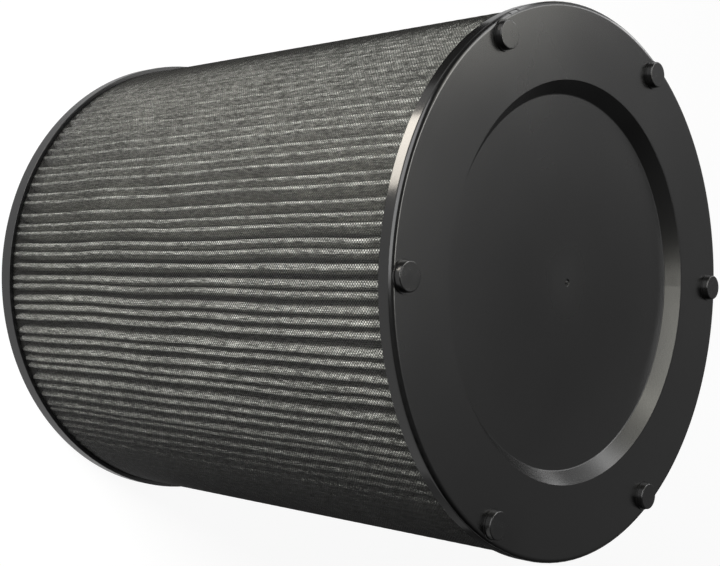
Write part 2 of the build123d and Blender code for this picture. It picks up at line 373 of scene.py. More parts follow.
cap_finish, tree, place = start_finish("satin moulded ABS")
grain = add(tree, "ShaderNodeTexNoise", {"Vector": place, "Scale": 1 / abs_grain, "Detail": 2.0})
flow = add(tree, "ShaderNodeTexNoise", {"Vector": place, "Scale": 1 / abs_flow, "Detail": 1.0})
smudge = add(tree, "ShaderNodeTexNoise", {"Vector": place, "Scale": 1 / (2 * abs_flow), "Detail": 4.0})
flat = add(tree, "ShaderNodeVectorMath", {0: place, 1: (1.0, 1.0, 0.0)}, operation="MULTIPLY")
from_gate = add(tree, "ShaderNodeVectorMath", {0: flat}, operation="LENGTH")
halo = add(tree, "ShaderNodeMapRange", {
    "Value": from_gate, "From Max": gate_halo, "To Min": gate_dullness, "To Max": 0.0,
}, interpolation_type="SMOOTHSTEP")
dull = add(tree, "ShaderNodeMapRange", {
    "Value": smudge, "From Min": NOISE_LOW, "From Max": NOISE_HIGH, "To Min": abs_satin[0],
    "To Max": abs_satin[1],
})
dull = add(tree, "ShaderNodeMath", {0: dull, 1: halo}, operation="ADD")
print("cap sheen from", abs_satin[0], "to", abs_satin[1])

# %% [markdown]
# The brightest lines of the picture run along the rounded rim, and the CAD mesh's uneven triangles would
# make them waver. The rounding bends about a ring, so the way out from the nearest point of that ring is
# the smooth direction of the surface. The finish shades with it, about a ring a little further in than the
# CAD edge's own, because blasting softens an edge past its radius. A least height keeps that way out from
# having no length, and so no direction. Along the rim the mould is polished.

# %% Moulded ABS of the cap: the rounded rim
cap_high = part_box("closed_cap")[1]
rim_rounding = 2.5 * MM
rim_slack = 0.46 * MM
rim_polish = 0.09
rim_polish_end = 0.8 * MM
hub_radius = cap_high.y - rim_rounding
hub_height = cap_high.z - rim_rounding
hub_least = 0.001 * MM

polish = add(tree, "ShaderNodeMapRange", {
    "Value": from_gate, "From Min": hub_radius, "From Max": cap_high.y - rim_polish_end,
    "To Max": rim_polish,
})
dull = add(tree, "ShaderNodeMath", {0: dull, 1: polish}, operation="SUBTRACT")
across = add(tree, "ShaderNodeMath", {0: from_gate, 1: hub_radius}, operation="SUBTRACT")
across = add(tree, "ShaderNodeMath", {0: across, 1: 0.0}, operation="MAXIMUM")
height = add(tree, "ShaderNodeSeparateXYZ", {0: place}).outputs["Z"]
above = add(tree, "ShaderNodeMath", {0: height, 1: hub_height}, operation="SUBTRACT")
above = add(tree, "ShaderNodeMath", {0: above, 1: hub_least}, operation="MAXIMUM")
above = add(tree, "ShaderNodeCombineXYZ", {"Z": above})
outward = add(tree, "ShaderNodeVectorMath", {0: flat}, operation="NORMALIZE")
outward = add(tree, "ShaderNodeVectorMath", {0: outward, "Scale": across}, operation="SCALE")
from_hub = add(tree, "ShaderNodeVectorMath", {0: outward, 1: above}, operation="ADD")
reach = add(tree, "ShaderNodeVectorMath", {0: from_hub}, operation="LENGTH")
on_rim = add(tree, "ShaderNodeMath", {0: reach, 1: rim_rounding, 2: rim_slack}, operation="COMPARE")
facing = add(tree, "ShaderNodeVectorTransform", {0: from_hub},
             vector_type="NORMAL", convert_from="OBJECT", convert_to="WORLD")
given = add(tree, "ShaderNodeNewGeometry").outputs["Normal"]
facing = add(tree, "ShaderNodeMix", {"Factor": on_rim, "A": given, "B": facing}, data_type="VECTOR")
print("rim bends about a ring", round(hub_radius / MM, 1), "mm out")

# %% [markdown]
# The gate mark in the middle is a small dimple of few triangles, so its shading leans back towards the flat
# face's own. Towards the middle of the dish the cap mirrors a little less than the rest, a painted dimming
# of its reflection that makes the middle render darker. The waves bend the surface's direction, the grain
# lies on the waves, and the shader takes them all.

# %% Moulded ABS of the cap: gate mark and shader
gate_mark = 3.0 * MM
gate_calm = 0.7
dish_middle = 40.0 * MM
dish_edge = 102.07 * MM
painted_dim_middle_mirror = 0.38
outer_mirror = 0.5

calm = add(tree, "ShaderNodeMath", {0: from_gate, 1: gate_mark}, operation="LESS_THAN")
calm = add(tree, "ShaderNodeMath", {0: calm, 1: gate_calm}, operation="MULTIPLY")
facing = add(tree, "ShaderNodeMix", {"Factor": calm, "A": facing, "B": (0.0, 0.0, 1.0)}, data_type="VECTOR")
waves = add(tree, "ShaderNodeBump", {
    "Height": flow, "Distance": abs_flow_depth, "Strength": 1.0, "Normal": facing,
})
relief = add(tree, "ShaderNodeBump", {
    "Height": grain, "Distance": abs_grain_depth, "Strength": 1.0, "Normal": waves,
})
# Painted dimming: the reflection grows weaker towards the middle of the dish, so the middle renders darker.
mirror_with_painted_dimming = add(tree, "ShaderNodeMapRange", {
    "Value": from_gate, "From Min": dish_middle, "From Max": dish_edge, "To Min": painted_dim_middle_mirror,
    "To Max": outer_mirror,
})
end_finish(tree, smudge, "#0d0d0d", "#131313", {
    "Roughness": dull, "IOR": 1.53, "Specular IOR Level": mirror_with_painted_dimming, "Normal": relief,
})
print("cap finish", cap_finish.name)

# %% [markdown]
# The open ring comes from the same plastic and a plainer tool, so it has nearly the same colour, a coarser
# grain and a slightly duller sheen.

# %% Moulded ABS of the ring
ring_grain = 1.3 * MM
ring_grain_depth = 0.006 * MM
ring_satin = (0.22, 0.3)

ring_finish, tree, place = start_finish("plain moulded ABS")
grain = add(tree, "ShaderNodeTexNoise", {"Vector": place, "Scale": 1 / ring_grain, "Detail": 2.0})
smudge = add(tree, "ShaderNodeTexNoise", {"Vector": place, "Scale": 1 / abs_flow, "Detail": 4.0})
dull = add(tree, "ShaderNodeMapRange", {
    "Value": smudge, "From Min": NOISE_LOW, "From Max": NOISE_HIGH, "To Min": ring_satin[0],
    "To Max": ring_satin[1],
})
relief = add(tree, "ShaderNodeBump", {"Height": grain, "Distance": ring_grain_depth, "Strength": 1.0})
end_finish(tree, smudge, "#0d0d0e", "#131314", {"Roughness": dull, "IOR": 1.53, "Normal": relief})
print("ring finish", ring_finish.name)

# %% [markdown]
# The pads are compression-moulded nitrile rubber. Rubber from a smooth tool is glossy at first and then
# blooms, so its sheen is cloudy: patches a few millimetres wide differ in how dull they are.

# %% Nitrile rubber of the pads
rubber_bloom = 5.0 * MM
rubber_grain = 0.35 * MM
rubber_grain_depth = 0.003 * MM
rubber_sheen = (0.2, 0.3)

pad_finish, tree, place = start_finish("moulded nitrile rubber")
bloom = add(tree, "ShaderNodeTexNoise", {"Vector": place, "Scale": 1 / rubber_bloom, "Detail": 3.0})
grain = add(tree, "ShaderNodeTexNoise", {"Vector": place, "Scale": 1 / rubber_grain, "Detail": 2.0})
dull = add(tree, "ShaderNodeMapRange", {
    "Value": bloom, "From Min": NOISE_LOW, "From Max": NOISE_HIGH, "To Min": rubber_sheen[0],
    "To Max": rubber_sheen[1],
})
relief = add(tree, "ShaderNodeBump", {"Height": grain, "Distance": rubber_grain_depth, "Strength": 1.0})
end_finish(tree, bloom, "#0c0c0c", "#131313", {"Roughness": dull, "IOR": 1.52, "Normal": relief})
print("pad finish", pad_finish.name)

# %% [markdown]
# The seal is open-cell polyurethane foam. A cut face of such a foam is a field of small pits, one for each
# cell, with thin walls between them. A Voronoi texture has just that pattern: its distance to the nearest
# cell middle is the depth of the pit. The same distance also sets the colour: painted shade darkens each
# pit and leaves the walls between them paler.

# %% Open-cell foam of the seal
foam_cell = 1.1 * MM
foam_cell_depth = 0.35 * MM

foam_finish, tree, place = start_finish("open-cell polyurethane foam")
pits_and_painted_shade = add(tree, "ShaderNodeTexVoronoi", {"Vector": place, "Scale": 1 / foam_cell})
relief = add(tree, "ShaderNodeBump", {"Height": pits_and_painted_shade, "Distance": foam_cell_depth, "Strength": 1.0})
# Painted shade: the colour is darkest in the middle of each pit and palest on the walls between them.
end_finish(tree, pits_and_painted_shade, "#121213", "#3a3a3b", {"Roughness": 0.9, "IOR": 1.5, "Normal": relief})
print("foam finish", foam_finish.name)

# %% [markdown]
# The lattice tube is moulded polypropylene, a waxy plastic that is duller than ABS. The melt ran up its
# ribs, which leaves faint streaks along the axis, so its noise is drawn out twelve times along Z.

# %% Moulded polypropylene of the lattice tube
streak_width = 0.8 * MM
streak_length = 10.0 * MM
streak_depth = 0.012 * MM
waxy_sheen = (0.4, 0.55)

core_finish, tree, place = start_finish("waxy moulded polypropylene")
stretch = add(tree, "ShaderNodeMapping", {
    "Vector": place, "Scale": (1 / streak_width, 1 / streak_width, 1 / streak_length),
})
streaks = add(tree, "ShaderNodeTexNoise", {"Vector": stretch, "Scale": 1.0, "Detail": 2.0})
relief = add(tree, "ShaderNodeBump", {"Height": streaks, "Distance": streak_depth, "Strength": 1.0})
dull = add(tree, "ShaderNodeMapRange", {"Value": streaks, "To Min": waxy_sheen[0], "To Max": waxy_sheen[1]})
end_finish(tree, streaks, "#1a1a1c", "#242426", {"Roughness": dull, "IOR": 1.49, "Normal": relief})
print("core finish", core_finish.name)

# %% [markdown]
# The carbon felt is a mat of crimped fibres filled with charcoal grains. It is the blackest surface here,
# with fibres that lie every way and a grain that glints when the light is low.

# %% Charcoal felt
felt_fibre = 0.5 * MM
felt_fibre_depth = 0.15 * MM
charcoal_grain = 0.7 * MM
glint_reach = 0.4
felt_sheen = (0.5, 0.95)

felt_finish, tree, place = start_finish("charcoal felt")
fibres = add(tree, "ShaderNodeTexNoise", {
    "Vector": place, "Scale": 1 / felt_fibre, "Detail": 3.0, "Distortion": 2.0,
})
grains = add(tree, "ShaderNodeTexVoronoi", {"Vector": place, "Scale": 1 / charcoal_grain})
glint = add(tree, "ShaderNodeMapRange", {
    "Value": grains, "From Max": glint_reach, "To Min": felt_sheen[0], "To Max": felt_sheen[1],
})
relief = add(tree, "ShaderNodeBump", {"Height": fibres, "Distance": felt_fibre_depth, "Strength": 1.0})
end_finish(tree, fibres, "#0e0e0f", "#1f1f20", {"Roughness": glint, "IOR": 1.5, "Normal": relief})
print("felt finish", felt_finish.name)

# %% [markdown]
# The adhesive is poured polyurethane. It levels before it sets, so it is smooth and glossy, with slow
# swells where it met the folds and a few pinholes left by bubbles.

# %% Poured polyurethane
swell = 14.0 * MM
swell_depth = 0.25 * MM
pinhole = 3.0 * MM
pinhole_depth = 0.1 * MM
pinhole_reach = 0.12

glue_finish, tree, place = start_finish("poured polyurethane")
swells = add(tree, "ShaderNodeTexNoise", {"Vector": place, "Scale": 1 / swell, "Detail": 1.0})
bubbles = add(tree, "ShaderNodeTexVoronoi", {"Vector": place, "Scale": 1 / pinhole})
holes = add(tree, "ShaderNodeMapRange", {"Value": bubbles, "From Max": pinhole_reach})
waves = add(tree, "ShaderNodeBump", {"Height": swells, "Distance": swell_depth, "Strength": 1.0})
relief = add(tree, "ShaderNodeBump", {
    "Height": holes, "Distance": pinhole_depth, "Strength": 1.0, "Normal": waves,
})
end_finish(tree, swells, "#151515", "#1e1e1e", {"Roughness": 0.24, "IOR": 1.5, "Normal": relief})
print("adhesive finish", glue_finish.name)

# %% [markdown]
# The folded cloth is carbon-loaded non-woven polyester. Close up it is a mat of fibres pressed flat, most
# of them running along the fold because the web was combed that way, so the eye sees pale streaks a few
# millimetres long on a charcoal ground. The carbon dust lies unevenly and makes broad darker clouds. The
# net in front takes about half of the light, so the cloth's own colours are paler than what the eye sees.

# %% Non-woven of the folds
fibre_width = 0.8 * MM
fibre_length = 5.0 * MM
fibre_depth = 0.10 * MM
cloud = 28.0 * MM
tuft = 1.6 * MM
fibre_share, tuft_share, cloud_share = 0.6, 0.25, 0.15
pale_span = (0.4, 0.62)

cloth_finish, tree, place = start_finish("carbon-loaded non-woven")
combed = add(tree, "ShaderNodeMapping", {
    "Vector": place, "Scale": (1 / fibre_width, 1 / fibre_width, 1 / fibre_length),
})
fibres = add(tree, "ShaderNodeTexNoise", {"Vector": combed, "Scale": 1.0, "Detail": 2.0, "Distortion": 0.4})
tufts = add(tree, "ShaderNodeTexNoise", {"Vector": place, "Scale": 1 / tuft, "Detail": 3.0})
clouds = add(tree, "ShaderNodeTexNoise", {"Vector": place, "Scale": 1 / cloud, "Detail": 3.0})
mat = add(tree, "ShaderNodeMath", {0: fibres, 1: fibre_share}, operation="MULTIPLY")
mat = add(tree, "ShaderNodeMath", {0: tufts, 1: tuft_share, 2: mat}, operation="MULTIPLY_ADD")
mat = add(tree, "ShaderNodeMath", {0: clouds, 1: cloud_share, 2: mat}, operation="MULTIPLY_ADD")
pale = add(tree, "ShaderNodeMapRange", {"Value": mat, "From Min": pale_span[0], "From Max": pale_span[1]})
relief = add(tree, "ShaderNodeBump", {"Height": mat, "Distance": fibre_depth, "Strength": 1.0})
end_finish(tree, pale, "#51524d", "#cfd0c9", {
    "Roughness": 0.85, "IOR": 1.5, "Specular IOR Level": 0.3, "Sheen Weight": 0.15, "Sheen Roughness": 0.5,
    "Normal": relief,
})
print("cloth finish", cloth_finish.name)

# %% [markdown]
# The net is knitted from polyester yarn, spun-dyed black. The yarn is smooth, so it shines a little along
# each thread. It is darker than the cloth, so each hole over the crest of a fold shows as a pale diamond.

# %% Knitted polyester yarn
yarn_twist = 0.6 * MM

yarn_finish, tree, place = start_finish("knitted polyester yarn")
twist = add(tree, "ShaderNodeTexNoise", {"Vector": place, "Scale": 1 / yarn_twist, "Detail": 1.0})
end_finish(tree, twist, "#0f0f0e", "#1e1e1c", {
    "Roughness": 0.5, "IOR": 1.54, "Sheen Weight": 0.1, "Sheen Roughness": 0.4,
})
print("yarn finish", yarn_finish.name)

# %% [markdown]
# Each CAD node keeps its mesh and gets the one finish of what it is made of. The folds and the net are
# missing here, because softer meshes stand in for those two further down.

# %% Lay the finishes on the CAD nodes
finish_of = {
    "closed_cap": cap_finish,
    "open_ring": ring_finish,
    "foam_seal": foam_finish,
    "ring_adhesive": glue_finish,
    "cap_adhesive": glue_finish,
    "seam_bead": glue_finish,
    "inner_core": core_finish,
    "carbon_felt": felt_finish,
    **{f"pad_{number}": pad_finish for number in range(1, 7)},
}
for node, finish in finish_of.items():
    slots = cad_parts[node].data.materials
    slots.clear()
    slots.append(finish)
print("finished", len(finish_of), "CAD nodes")

# %% [markdown]
# The folds are never quite even. Each outer fold sits a little off its place, by the same small formula
# as in the CAD model, so the soft folds here stand just where the CAD folds are. It adds a slow and a fast
# wave to the middle of the fold's share of the circle. The cloth's tree needs it for a fold and for the
# fold beside it, so the formula is a node group of its own.

# %% The angle of a fold as a node group
fold_count = 138
unevenness = 0.13
slow_wave = 1.1
slow_start = 0.7
slow_share = 0.6
fast_wave = 2.4

fold_angles = bpy.data.node_groups.new("fold angle", "GeometryNodeTree")
fold_angles.interface.new_socket("Fold", in_out="INPUT", socket_type="NodeSocketFloat")
fold_angles.interface.new_socket("Angle", in_out="OUTPUT", socket_type="NodeSocketFloat")
fold = add(fold_angles, "NodeGroupInput").outputs["Fold"]
slow = add(fold_angles, "ShaderNodeMath", {0: fold, 1: slow_wave, 2: slow_start}, operation="MULTIPLY_ADD")
slow = add(fold_angles, "ShaderNodeMath", {0: slow}, operation="SINE")
fast = add(fold_angles, "ShaderNodeMath", {0: fold, 1: fast_wave}, operation="MULTIPLY")
fast = add(fold_angles, "ShaderNodeMath", {0: fast}, operation="SINE")
shift = add(fold_angles, "ShaderNodeMath", {0: slow, 1: slow_share, 2: fast}, operation="MULTIPLY_ADD")
place = add(fold_angles, "ShaderNodeMath", {0: shift, 1: unevenness, 2: 0.5}, operation="MULTIPLY_ADD")
place = add(fold_angles, "ShaderNodeMath", {0: place, 1: fold}, operation="ADD")
place = add(fold_angles, "ShaderNodeMath", {0: place, 1: math.tau / fold_count}, operation="MULTIPLY")
add(fold_angles, "NodeGroupOutput", {"Angle": place})
print("fold angle group has", len(fold_angles.nodes), "nodes")

# %% [markdown]
# Two Geometry Nodes trees make the cloth and the net. The first helper starts such a tree with its named
# inputs. A tree makes a mesh only when an object carries it, so the second gives a new object the tree, sets
# its inputs by the sockets' own identifiers, and turns the result into a plain mesh.

# %% Helpers that start a tree and grow a mesh from it
def start_tree(name, counts, measures):
    """A new tree and its input sockets: whole numbers, measures and the material. It gives a geometry."""
    tree = bpy.data.node_groups.new(name, "GeometryNodeTree")
    kinds = {**dict.fromkeys(counts, "NodeSocketInt"), **dict.fromkeys(measures, "NodeSocketFloat"),
             "Material": "NodeSocketMaterial"}
    for label, kind in kinds.items():
        tree.interface.new_socket(label, in_out="INPUT", socket_type=kind)
    tree.interface.new_socket("Geometry", in_out="OUTPUT", socket_type="NodeSocketGeometry")
    return tree, add(tree, "NodeGroupInput").outputs


def grown(name, tree, values, finish_with=None):
    """A plain mesh object from a Geometry Nodes tree with its inputs set to values."""
    object_ = bpy.data.objects.new(name, bpy.data.meshes.new(name))
    bpy.context.scene.collection.objects.link(object_)
    modifier = object_.modifiers.new("grow", "NODES")
    modifier.node_group = tree
    for item in tree.interface.items_tree:
        if item.item_type == "SOCKET" and item.in_out == "INPUT" and item.name in values:
            modifier[item.identifier] = values[item.name]
    if finish_with:
        finish_with(object_)
    bpy.context.view_layer.update()
    graph = bpy.context.evaluated_depsgraph_get()
    mesh = bpy.data.meshes.new_from_object(object_.evaluated_get(graph), depsgraph=graph)
    object_.modifiers.clear()
    object_.data = mesh
    mesh.name = name
    return object_


# %% [markdown]
# The cloth is a strip of carbon-loaded non-woven. Seen along the axis it is one long zigzag line, so the
# tree draws that line: six corners a fold, which are two roots, two bellies and two corners of the narrow
# crease at the tip. A Fillet Curve node rounds them, and the line is swept upwards into a wall. A gentle
# noise turns the wall a little here and there, as real folds wander. A Solidify modifier then gives the
# cloth its thickness, inwards, so its outer face stays where the CAD folds have theirs.

# %% Sizes of the folds
fold_tip_radius = 138.0 * MM
fold_root_radius = 108.7 * MM
cloth_thickness = 1.0 * MM
fold_half_gap = 0.5 * MM
crease_half_width = 0.85 * MM
belly_half_width = 2.25 * MM
belly_depth = 5.0 * MM
cloth_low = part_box("pleated_media")[0][2]
cloth_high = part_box("pleated_media")[1][2]
cloth_height = cloth_high - cloth_low
print("folds stand from", round(cloth_low / MM, 1), "to", round(cloth_high / MM, 1), "mm")

# %% [markdown]
# The tree takes the sizes as named inputs, so they can be changed without touching it. It starts with a
# straight line of points, one for each corner. A point's index tells which fold it belongs to, which of the
# six corners it is, and on which side of the tip it lies.

# %% Cloth tree: inputs and corners
corners_a_fold = 6

cloth_tree, size = start_tree("folded cloth", counts=("Folds", "Rows"), measures=(
    "Tip radius", "Root radius", "Belly radius", "Half crease", "Half belly", "Half gap", "Bottom", "Height",
    "Wander",
))
corner_count = add(cloth_tree, "ShaderNodeMath", {0: size["Folds"], 1: corners_a_fold},
                   operation="MULTIPLY")
line = add(cloth_tree, "GeometryNodeMeshLine", {"Count": corner_count})
line = add(cloth_tree, "GeometryNodeMeshToCurve", {"Mesh": line})
index = add(cloth_tree, "GeometryNodeInputIndex")
number = add(cloth_tree, "ShaderNodeMath", {0: index, 1: corners_a_fold}, operation="DIVIDE")
number = add(cloth_tree, "ShaderNodeMath", {0: number}, operation="FLOOR")
corner = add(cloth_tree, "ShaderNodeMath", {0: index, 1: corners_a_fold}, operation="MODULO")
from_tip = add(cloth_tree, "ShaderNodeMath", {0: corner, 1: (corners_a_fold - 1) / 2}, operation="SUBTRACT")
side = add(cloth_tree, "ShaderNodeMath", {0: from_tip}, operation="SIGN")
from_tip = add(cloth_tree, "ShaderNodeMath", {0: from_tip}, operation="ABSOLUTE")
is_tip = add(cloth_tree, "ShaderNodeMath", {0: from_tip, 1: 1.0}, operation="LESS_THAN")
is_root = add(cloth_tree, "ShaderNodeMath", {0: from_tip, 1: 2.0}, operation="GREATER_THAN")
print("the cloth's line has", corners_a_fold * fold_count, "corners")

# %% [markdown]
# A tip and a belly take their fold's own angle. A root stands halfway between the folds beside it. The
# first and the last corner are the two ends of the strip, which meet at the seam.

# %% Cloth tree: the angle of each corner
here = add(cloth_tree, "GeometryNodeGroup", {"Fold": number}, node_tree=fold_angles)
beside = add(cloth_tree, "ShaderNodeMath", {0: number, 1: side}, operation="ADD")
next_door = add(cloth_tree, "GeometryNodeGroup", {"Fold": beside}, node_tree=fold_angles)
root_angle = add(cloth_tree, "ShaderNodeMix", {"Factor": 0.5, "A": here, "B": next_door}, data_type="FLOAT")
seam_start = add(cloth_tree, "ShaderNodeMath", {0: index, 1: 0.5}, operation="LESS_THAN")
last_index = add(cloth_tree, "ShaderNodeMath", {0: corner_count, 1: 1.5}, operation="SUBTRACT")
seam_end = add(cloth_tree, "ShaderNodeMath", {0: index, 1: last_index}, operation="GREATER_THAN")
end_angle = add(cloth_tree, "ShaderNodeMath", {0: seam_end, 1: math.tau}, operation="MULTIPLY")
at_seam = add(cloth_tree, "ShaderNodeMath", {0: seam_start, 1: seam_end}, operation="ADD")
root_angle = add(cloth_tree, "ShaderNodeMix", {
    "Factor": at_seam, "A": root_angle, "B": end_angle,
}, data_type="FLOAT")
angle = add(cloth_tree, "ShaderNodeMix", {"Factor": is_root, "A": here, "B": root_angle}, data_type="FLOAT")
print("a fold takes", round(360 / fold_count, 2), "degrees")

# %% [markdown]
# Each corner has its distance from the axis and a step aside from its angle: half a crease at the tip, half
# a belly below it, and half a gap backwards at a root. A step aside divided by the distance is an angle.

# %% Cloth tree: the place of each corner
radius = add(cloth_tree, "ShaderNodeMix", {
    "Factor": is_tip, "A": size["Belly radius"], "B": size["Tip radius"],
}, data_type="FLOAT")
radius = add(cloth_tree, "ShaderNodeMix", {
    "Factor": is_root, "A": radius, "B": size["Root radius"],
}, data_type="FLOAT")
aside = add(cloth_tree, "ShaderNodeMix", {
    "Factor": is_tip, "A": size["Half belly"], "B": size["Half crease"],
}, data_type="FLOAT")
back_off = add(cloth_tree, "ShaderNodeMath", {0: size["Half gap"], 1: -1.0}, operation="MULTIPLY")
aside = add(cloth_tree, "ShaderNodeMix", {"Factor": is_root, "A": aside, "B": back_off}, data_type="FLOAT")
aside = add(cloth_tree, "ShaderNodeMath", {0: aside, 1: side}, operation="MULTIPLY")
aside = add(cloth_tree, "ShaderNodeMath", {0: aside, 1: radius}, operation="DIVIDE")
angle = add(cloth_tree, "ShaderNodeMath", {0: angle, 1: aside}, operation="ADD")
outward = add(cloth_tree, "ShaderNodeCombineXYZ", {"X": radius})
spot = add(cloth_tree, "ShaderNodeVectorRotate", {"Vector": outward, "Angle": angle},
           rotation_type="Z_AXIS")
line = add(cloth_tree, "GeometryNodeSetPosition", {"Geometry": line, "Position": spot})
print("folds stand", round(fold_root_radius / MM, 1), "to", round(fold_tip_radius / MM, 1), "mm out")

# %% [markdown]
# A crease is rounded tightly, the belly beside it widely. The roots are deep in the dark and get one step.
# Then the rounded line is swept along an upright one, the wall.

# %% Cloth tree: round the corners and sweep the wall
belly_rounding = 6.0 * MM
crease_steps = 3
root_steps = 1
cloth_rows = 16

steps = add(cloth_tree, "ShaderNodeMath", {
    0: is_root, 1: root_steps - crease_steps, 2: crease_steps,
}, operation="MULTIPLY_ADD")
is_belly = add(cloth_tree, "ShaderNodeMath", {0: 1.0, 1: is_tip}, operation="SUBTRACT")
is_belly = add(cloth_tree, "ShaderNodeMath", {0: is_belly, 1: is_root}, operation="SUBTRACT")
rounding = add(cloth_tree, "ShaderNodeMix", {
    "Factor": is_belly, "A": size["Half crease"], "B": belly_rounding,
}, data_type="FLOAT")
line = add(cloth_tree, "GeometryNodeFilletCurve", {
    "Curve": line, "Count": steps, "Radius": rounding, "Limit Radius": True,
}, mode="POLY")
downwards = add(cloth_tree, "ShaderNodeMath", {0: size["Height"], 1: -1.0}, operation="MULTIPLY")
top = add(cloth_tree, "ShaderNodeCombineXYZ", {"Y": downwards})
wall = add(cloth_tree, "GeometryNodeCurvePrimitiveLine", {"End": top})
wall = add(cloth_tree, "GeometryNodeResampleCurve", {"Curve": wall, "Count": size["Rows"]})
line = add(cloth_tree, "GeometryNodeSetCurveNormal", {"Curve": line}, mode="Z_UP")
swept = add(cloth_tree, "GeometryNodeCurveToMesh", {"Curve": line, "Profile Curve": wall})
swept = add(cloth_tree, "GeometryNodeFlipFaces", {"Mesh": swept})
bottom = add(cloth_tree, "ShaderNodeCombineXYZ", {"Z": size["Bottom"]})
swept = add(cloth_tree, "GeometryNodeSetPosition", {"Geometry": swept, "Offset": bottom})
print("the wall has", cloth_rows, "rows")

# %% [markdown]
# The wander is a turn about the axis, a smooth noise with lumps about 5 folds wide and 60 mm tall.

# %% Cloth tree: let the folds wander
cloth_wander = 3.0 * MM
wander_lumps = (30.0, 30.0, 16.0)

where = add(cloth_tree, "GeometryNodeInputPosition")
stretched = add(cloth_tree, "ShaderNodeVectorMath", {0: where, 1: wander_lumps}, operation="MULTIPLY")
noise = add(cloth_tree, "ShaderNodeTexNoise", {"Vector": stretched, "Scale": 1.0, "Detail": 1.0})
bend = add(cloth_tree, "ShaderNodeMath", {0: noise, 1: 0.5}, operation="SUBTRACT")
bend = add(cloth_tree, "ShaderNodeMath", {0: bend, 1: size["Wander"]}, operation="MULTIPLY")
bend = add(cloth_tree, "ShaderNodeMath", {0: bend, 1: size["Tip radius"]}, operation="DIVIDE")
moved = add(cloth_tree, "ShaderNodeVectorRotate", {"Vector": where, "Angle": bend}, rotation_type="Z_AXIS")
swept = add(cloth_tree, "GeometryNodeSetPosition", {"Geometry": swept, "Position": moved})
swept = add(cloth_tree, "GeometryNodeRealizeInstances", {"Geometry": swept})
swept = add(cloth_tree, "GeometryNodeSetMaterial", {"Geometry": swept, "Material": size["Material"]})
add(cloth_tree, "NodeGroupOutput", {"Geometry": swept})
print("cloth tree has", len(cloth_tree.nodes), "nodes")

# %% [markdown]
# Now an object carries the tree, gets the sizes and becomes a mesh. It takes the place of the CAD folds. On
# the real filter this is one strip.

# %% Grow the folded cloth
def thicken(piece):
    """Gives the wall its thickness, inwards."""
    solid = piece.modifiers.new("thickness", "SOLIDIFY")
    solid.thickness = cloth_thickness
    solid.offset = -1.0


cloth = grown("folded_cloth", cloth_tree, {
    "Folds": fold_count,
    "Tip radius": fold_tip_radius,
    "Root radius": fold_root_radius + cloth_thickness,
    "Belly radius": fold_tip_radius - belly_depth,
    "Half crease": crease_half_width,
    "Half belly": belly_half_width,
    "Half gap": fold_half_gap,
    "Bottom": cloth_low,
    "Height": cloth_height,
    "Rows": cloth_rows,
    "Wander": cloth_wander,
    "Material": cloth_finish,
}, thicken)
cloth.data.shade_smooth()
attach(cloth, "root")
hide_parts("pleated_media")

# %% [markdown]
# The net is a tube of diamond mesh, and its holes are too small to count from a step away: 1.83 mm wide
# round the drum and 1.58 mm tall. Making each hole would take far too many faces. But a diamond mesh is
# nothing more than two families of slanting threads that cross, and each thread is one long helix from end
# to end. So the tree bends one thread, repeats it round the drum, and does the same with the other slant.
# A thread is a narrow strip, arched across so that it catches the light as a round yarn does. The CAD
# sleeve is thicker than yarn, so the threads start half a millimetre inside its outer face, on the folds.

# %% Sizes of the net
sleeve_low, sleeve_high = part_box("net_sleeve")
net_inset = 0.5 * MM
net_radius = sleeve_high.y - net_inset
net_height = sleeve_high.z - sleeve_low.z
hole_width = 1.83 * MM
hole_height = 1.58 * MM
threads_round = round(math.tau * net_radius / hole_width)
slant = net_height / hole_height / threads_round * math.tau
print("net of 2 x", threads_round, "threads, each turning by", round(math.degrees(slant)), "degrees")

# %% [markdown]
# The section of a thread is an arch of three points that lies flat on the drum.

# %% Net tree: inputs and the section of a thread
thread_width = 0.33 * MM
thread_arch = 0.14 * MM

net_tree, size = start_tree("knitted net", counts=("Threads", "Steps"), measures=(
    "Radius", "Bottom", "Height", "Slant", "Thread width", "Arch", "Seam width", "Drift",
))
half_width = add(net_tree, "ShaderNodeMath", {0: size["Thread width"], 1: 0.5}, operation="MULTIPLY")
other_half = add(net_tree, "ShaderNodeMath", {0: size["Thread width"], 1: -0.5}, operation="MULTIPLY")
corner = add(net_tree, "ShaderNodeCombineXYZ", {"Y": half_width})
other_corner = add(net_tree, "ShaderNodeCombineXYZ", {"Y": other_half})
arch = add(net_tree, "GeometryNodeCurvePrimitiveLine", {"Start": other_corner, "End": corner})
arch = add(net_tree, "GeometryNodeResampleCurve", {"Curve": arch, "Count": 3})
point = add(net_tree, "GeometryNodeInputIndex")
is_middle = add(net_tree, "ShaderNodeMath", {0: point, 1: 1.0, 2: 0.1}, operation="COMPARE")
rise = add(net_tree, "ShaderNodeMath", {0: is_middle, 1: size["Arch"]}, operation="MULTIPLY")
rise = add(net_tree, "ShaderNodeCombineXYZ", {"X": rise})
arch = add(net_tree, "GeometryNodeSetPosition", {"Geometry": arch, "Offset": rise})
print("a thread is", round(thread_width / MM, 2), "mm wide and", round(thread_arch / MM, 2), "mm high")

# %% [markdown]
# There are two families of threads, one slanting each way, the second a little further out. Each copy of
# the one bent thread is turned about the axis by its share of the circle.

# %% Net tree: two families of threads
thread_steps = 40

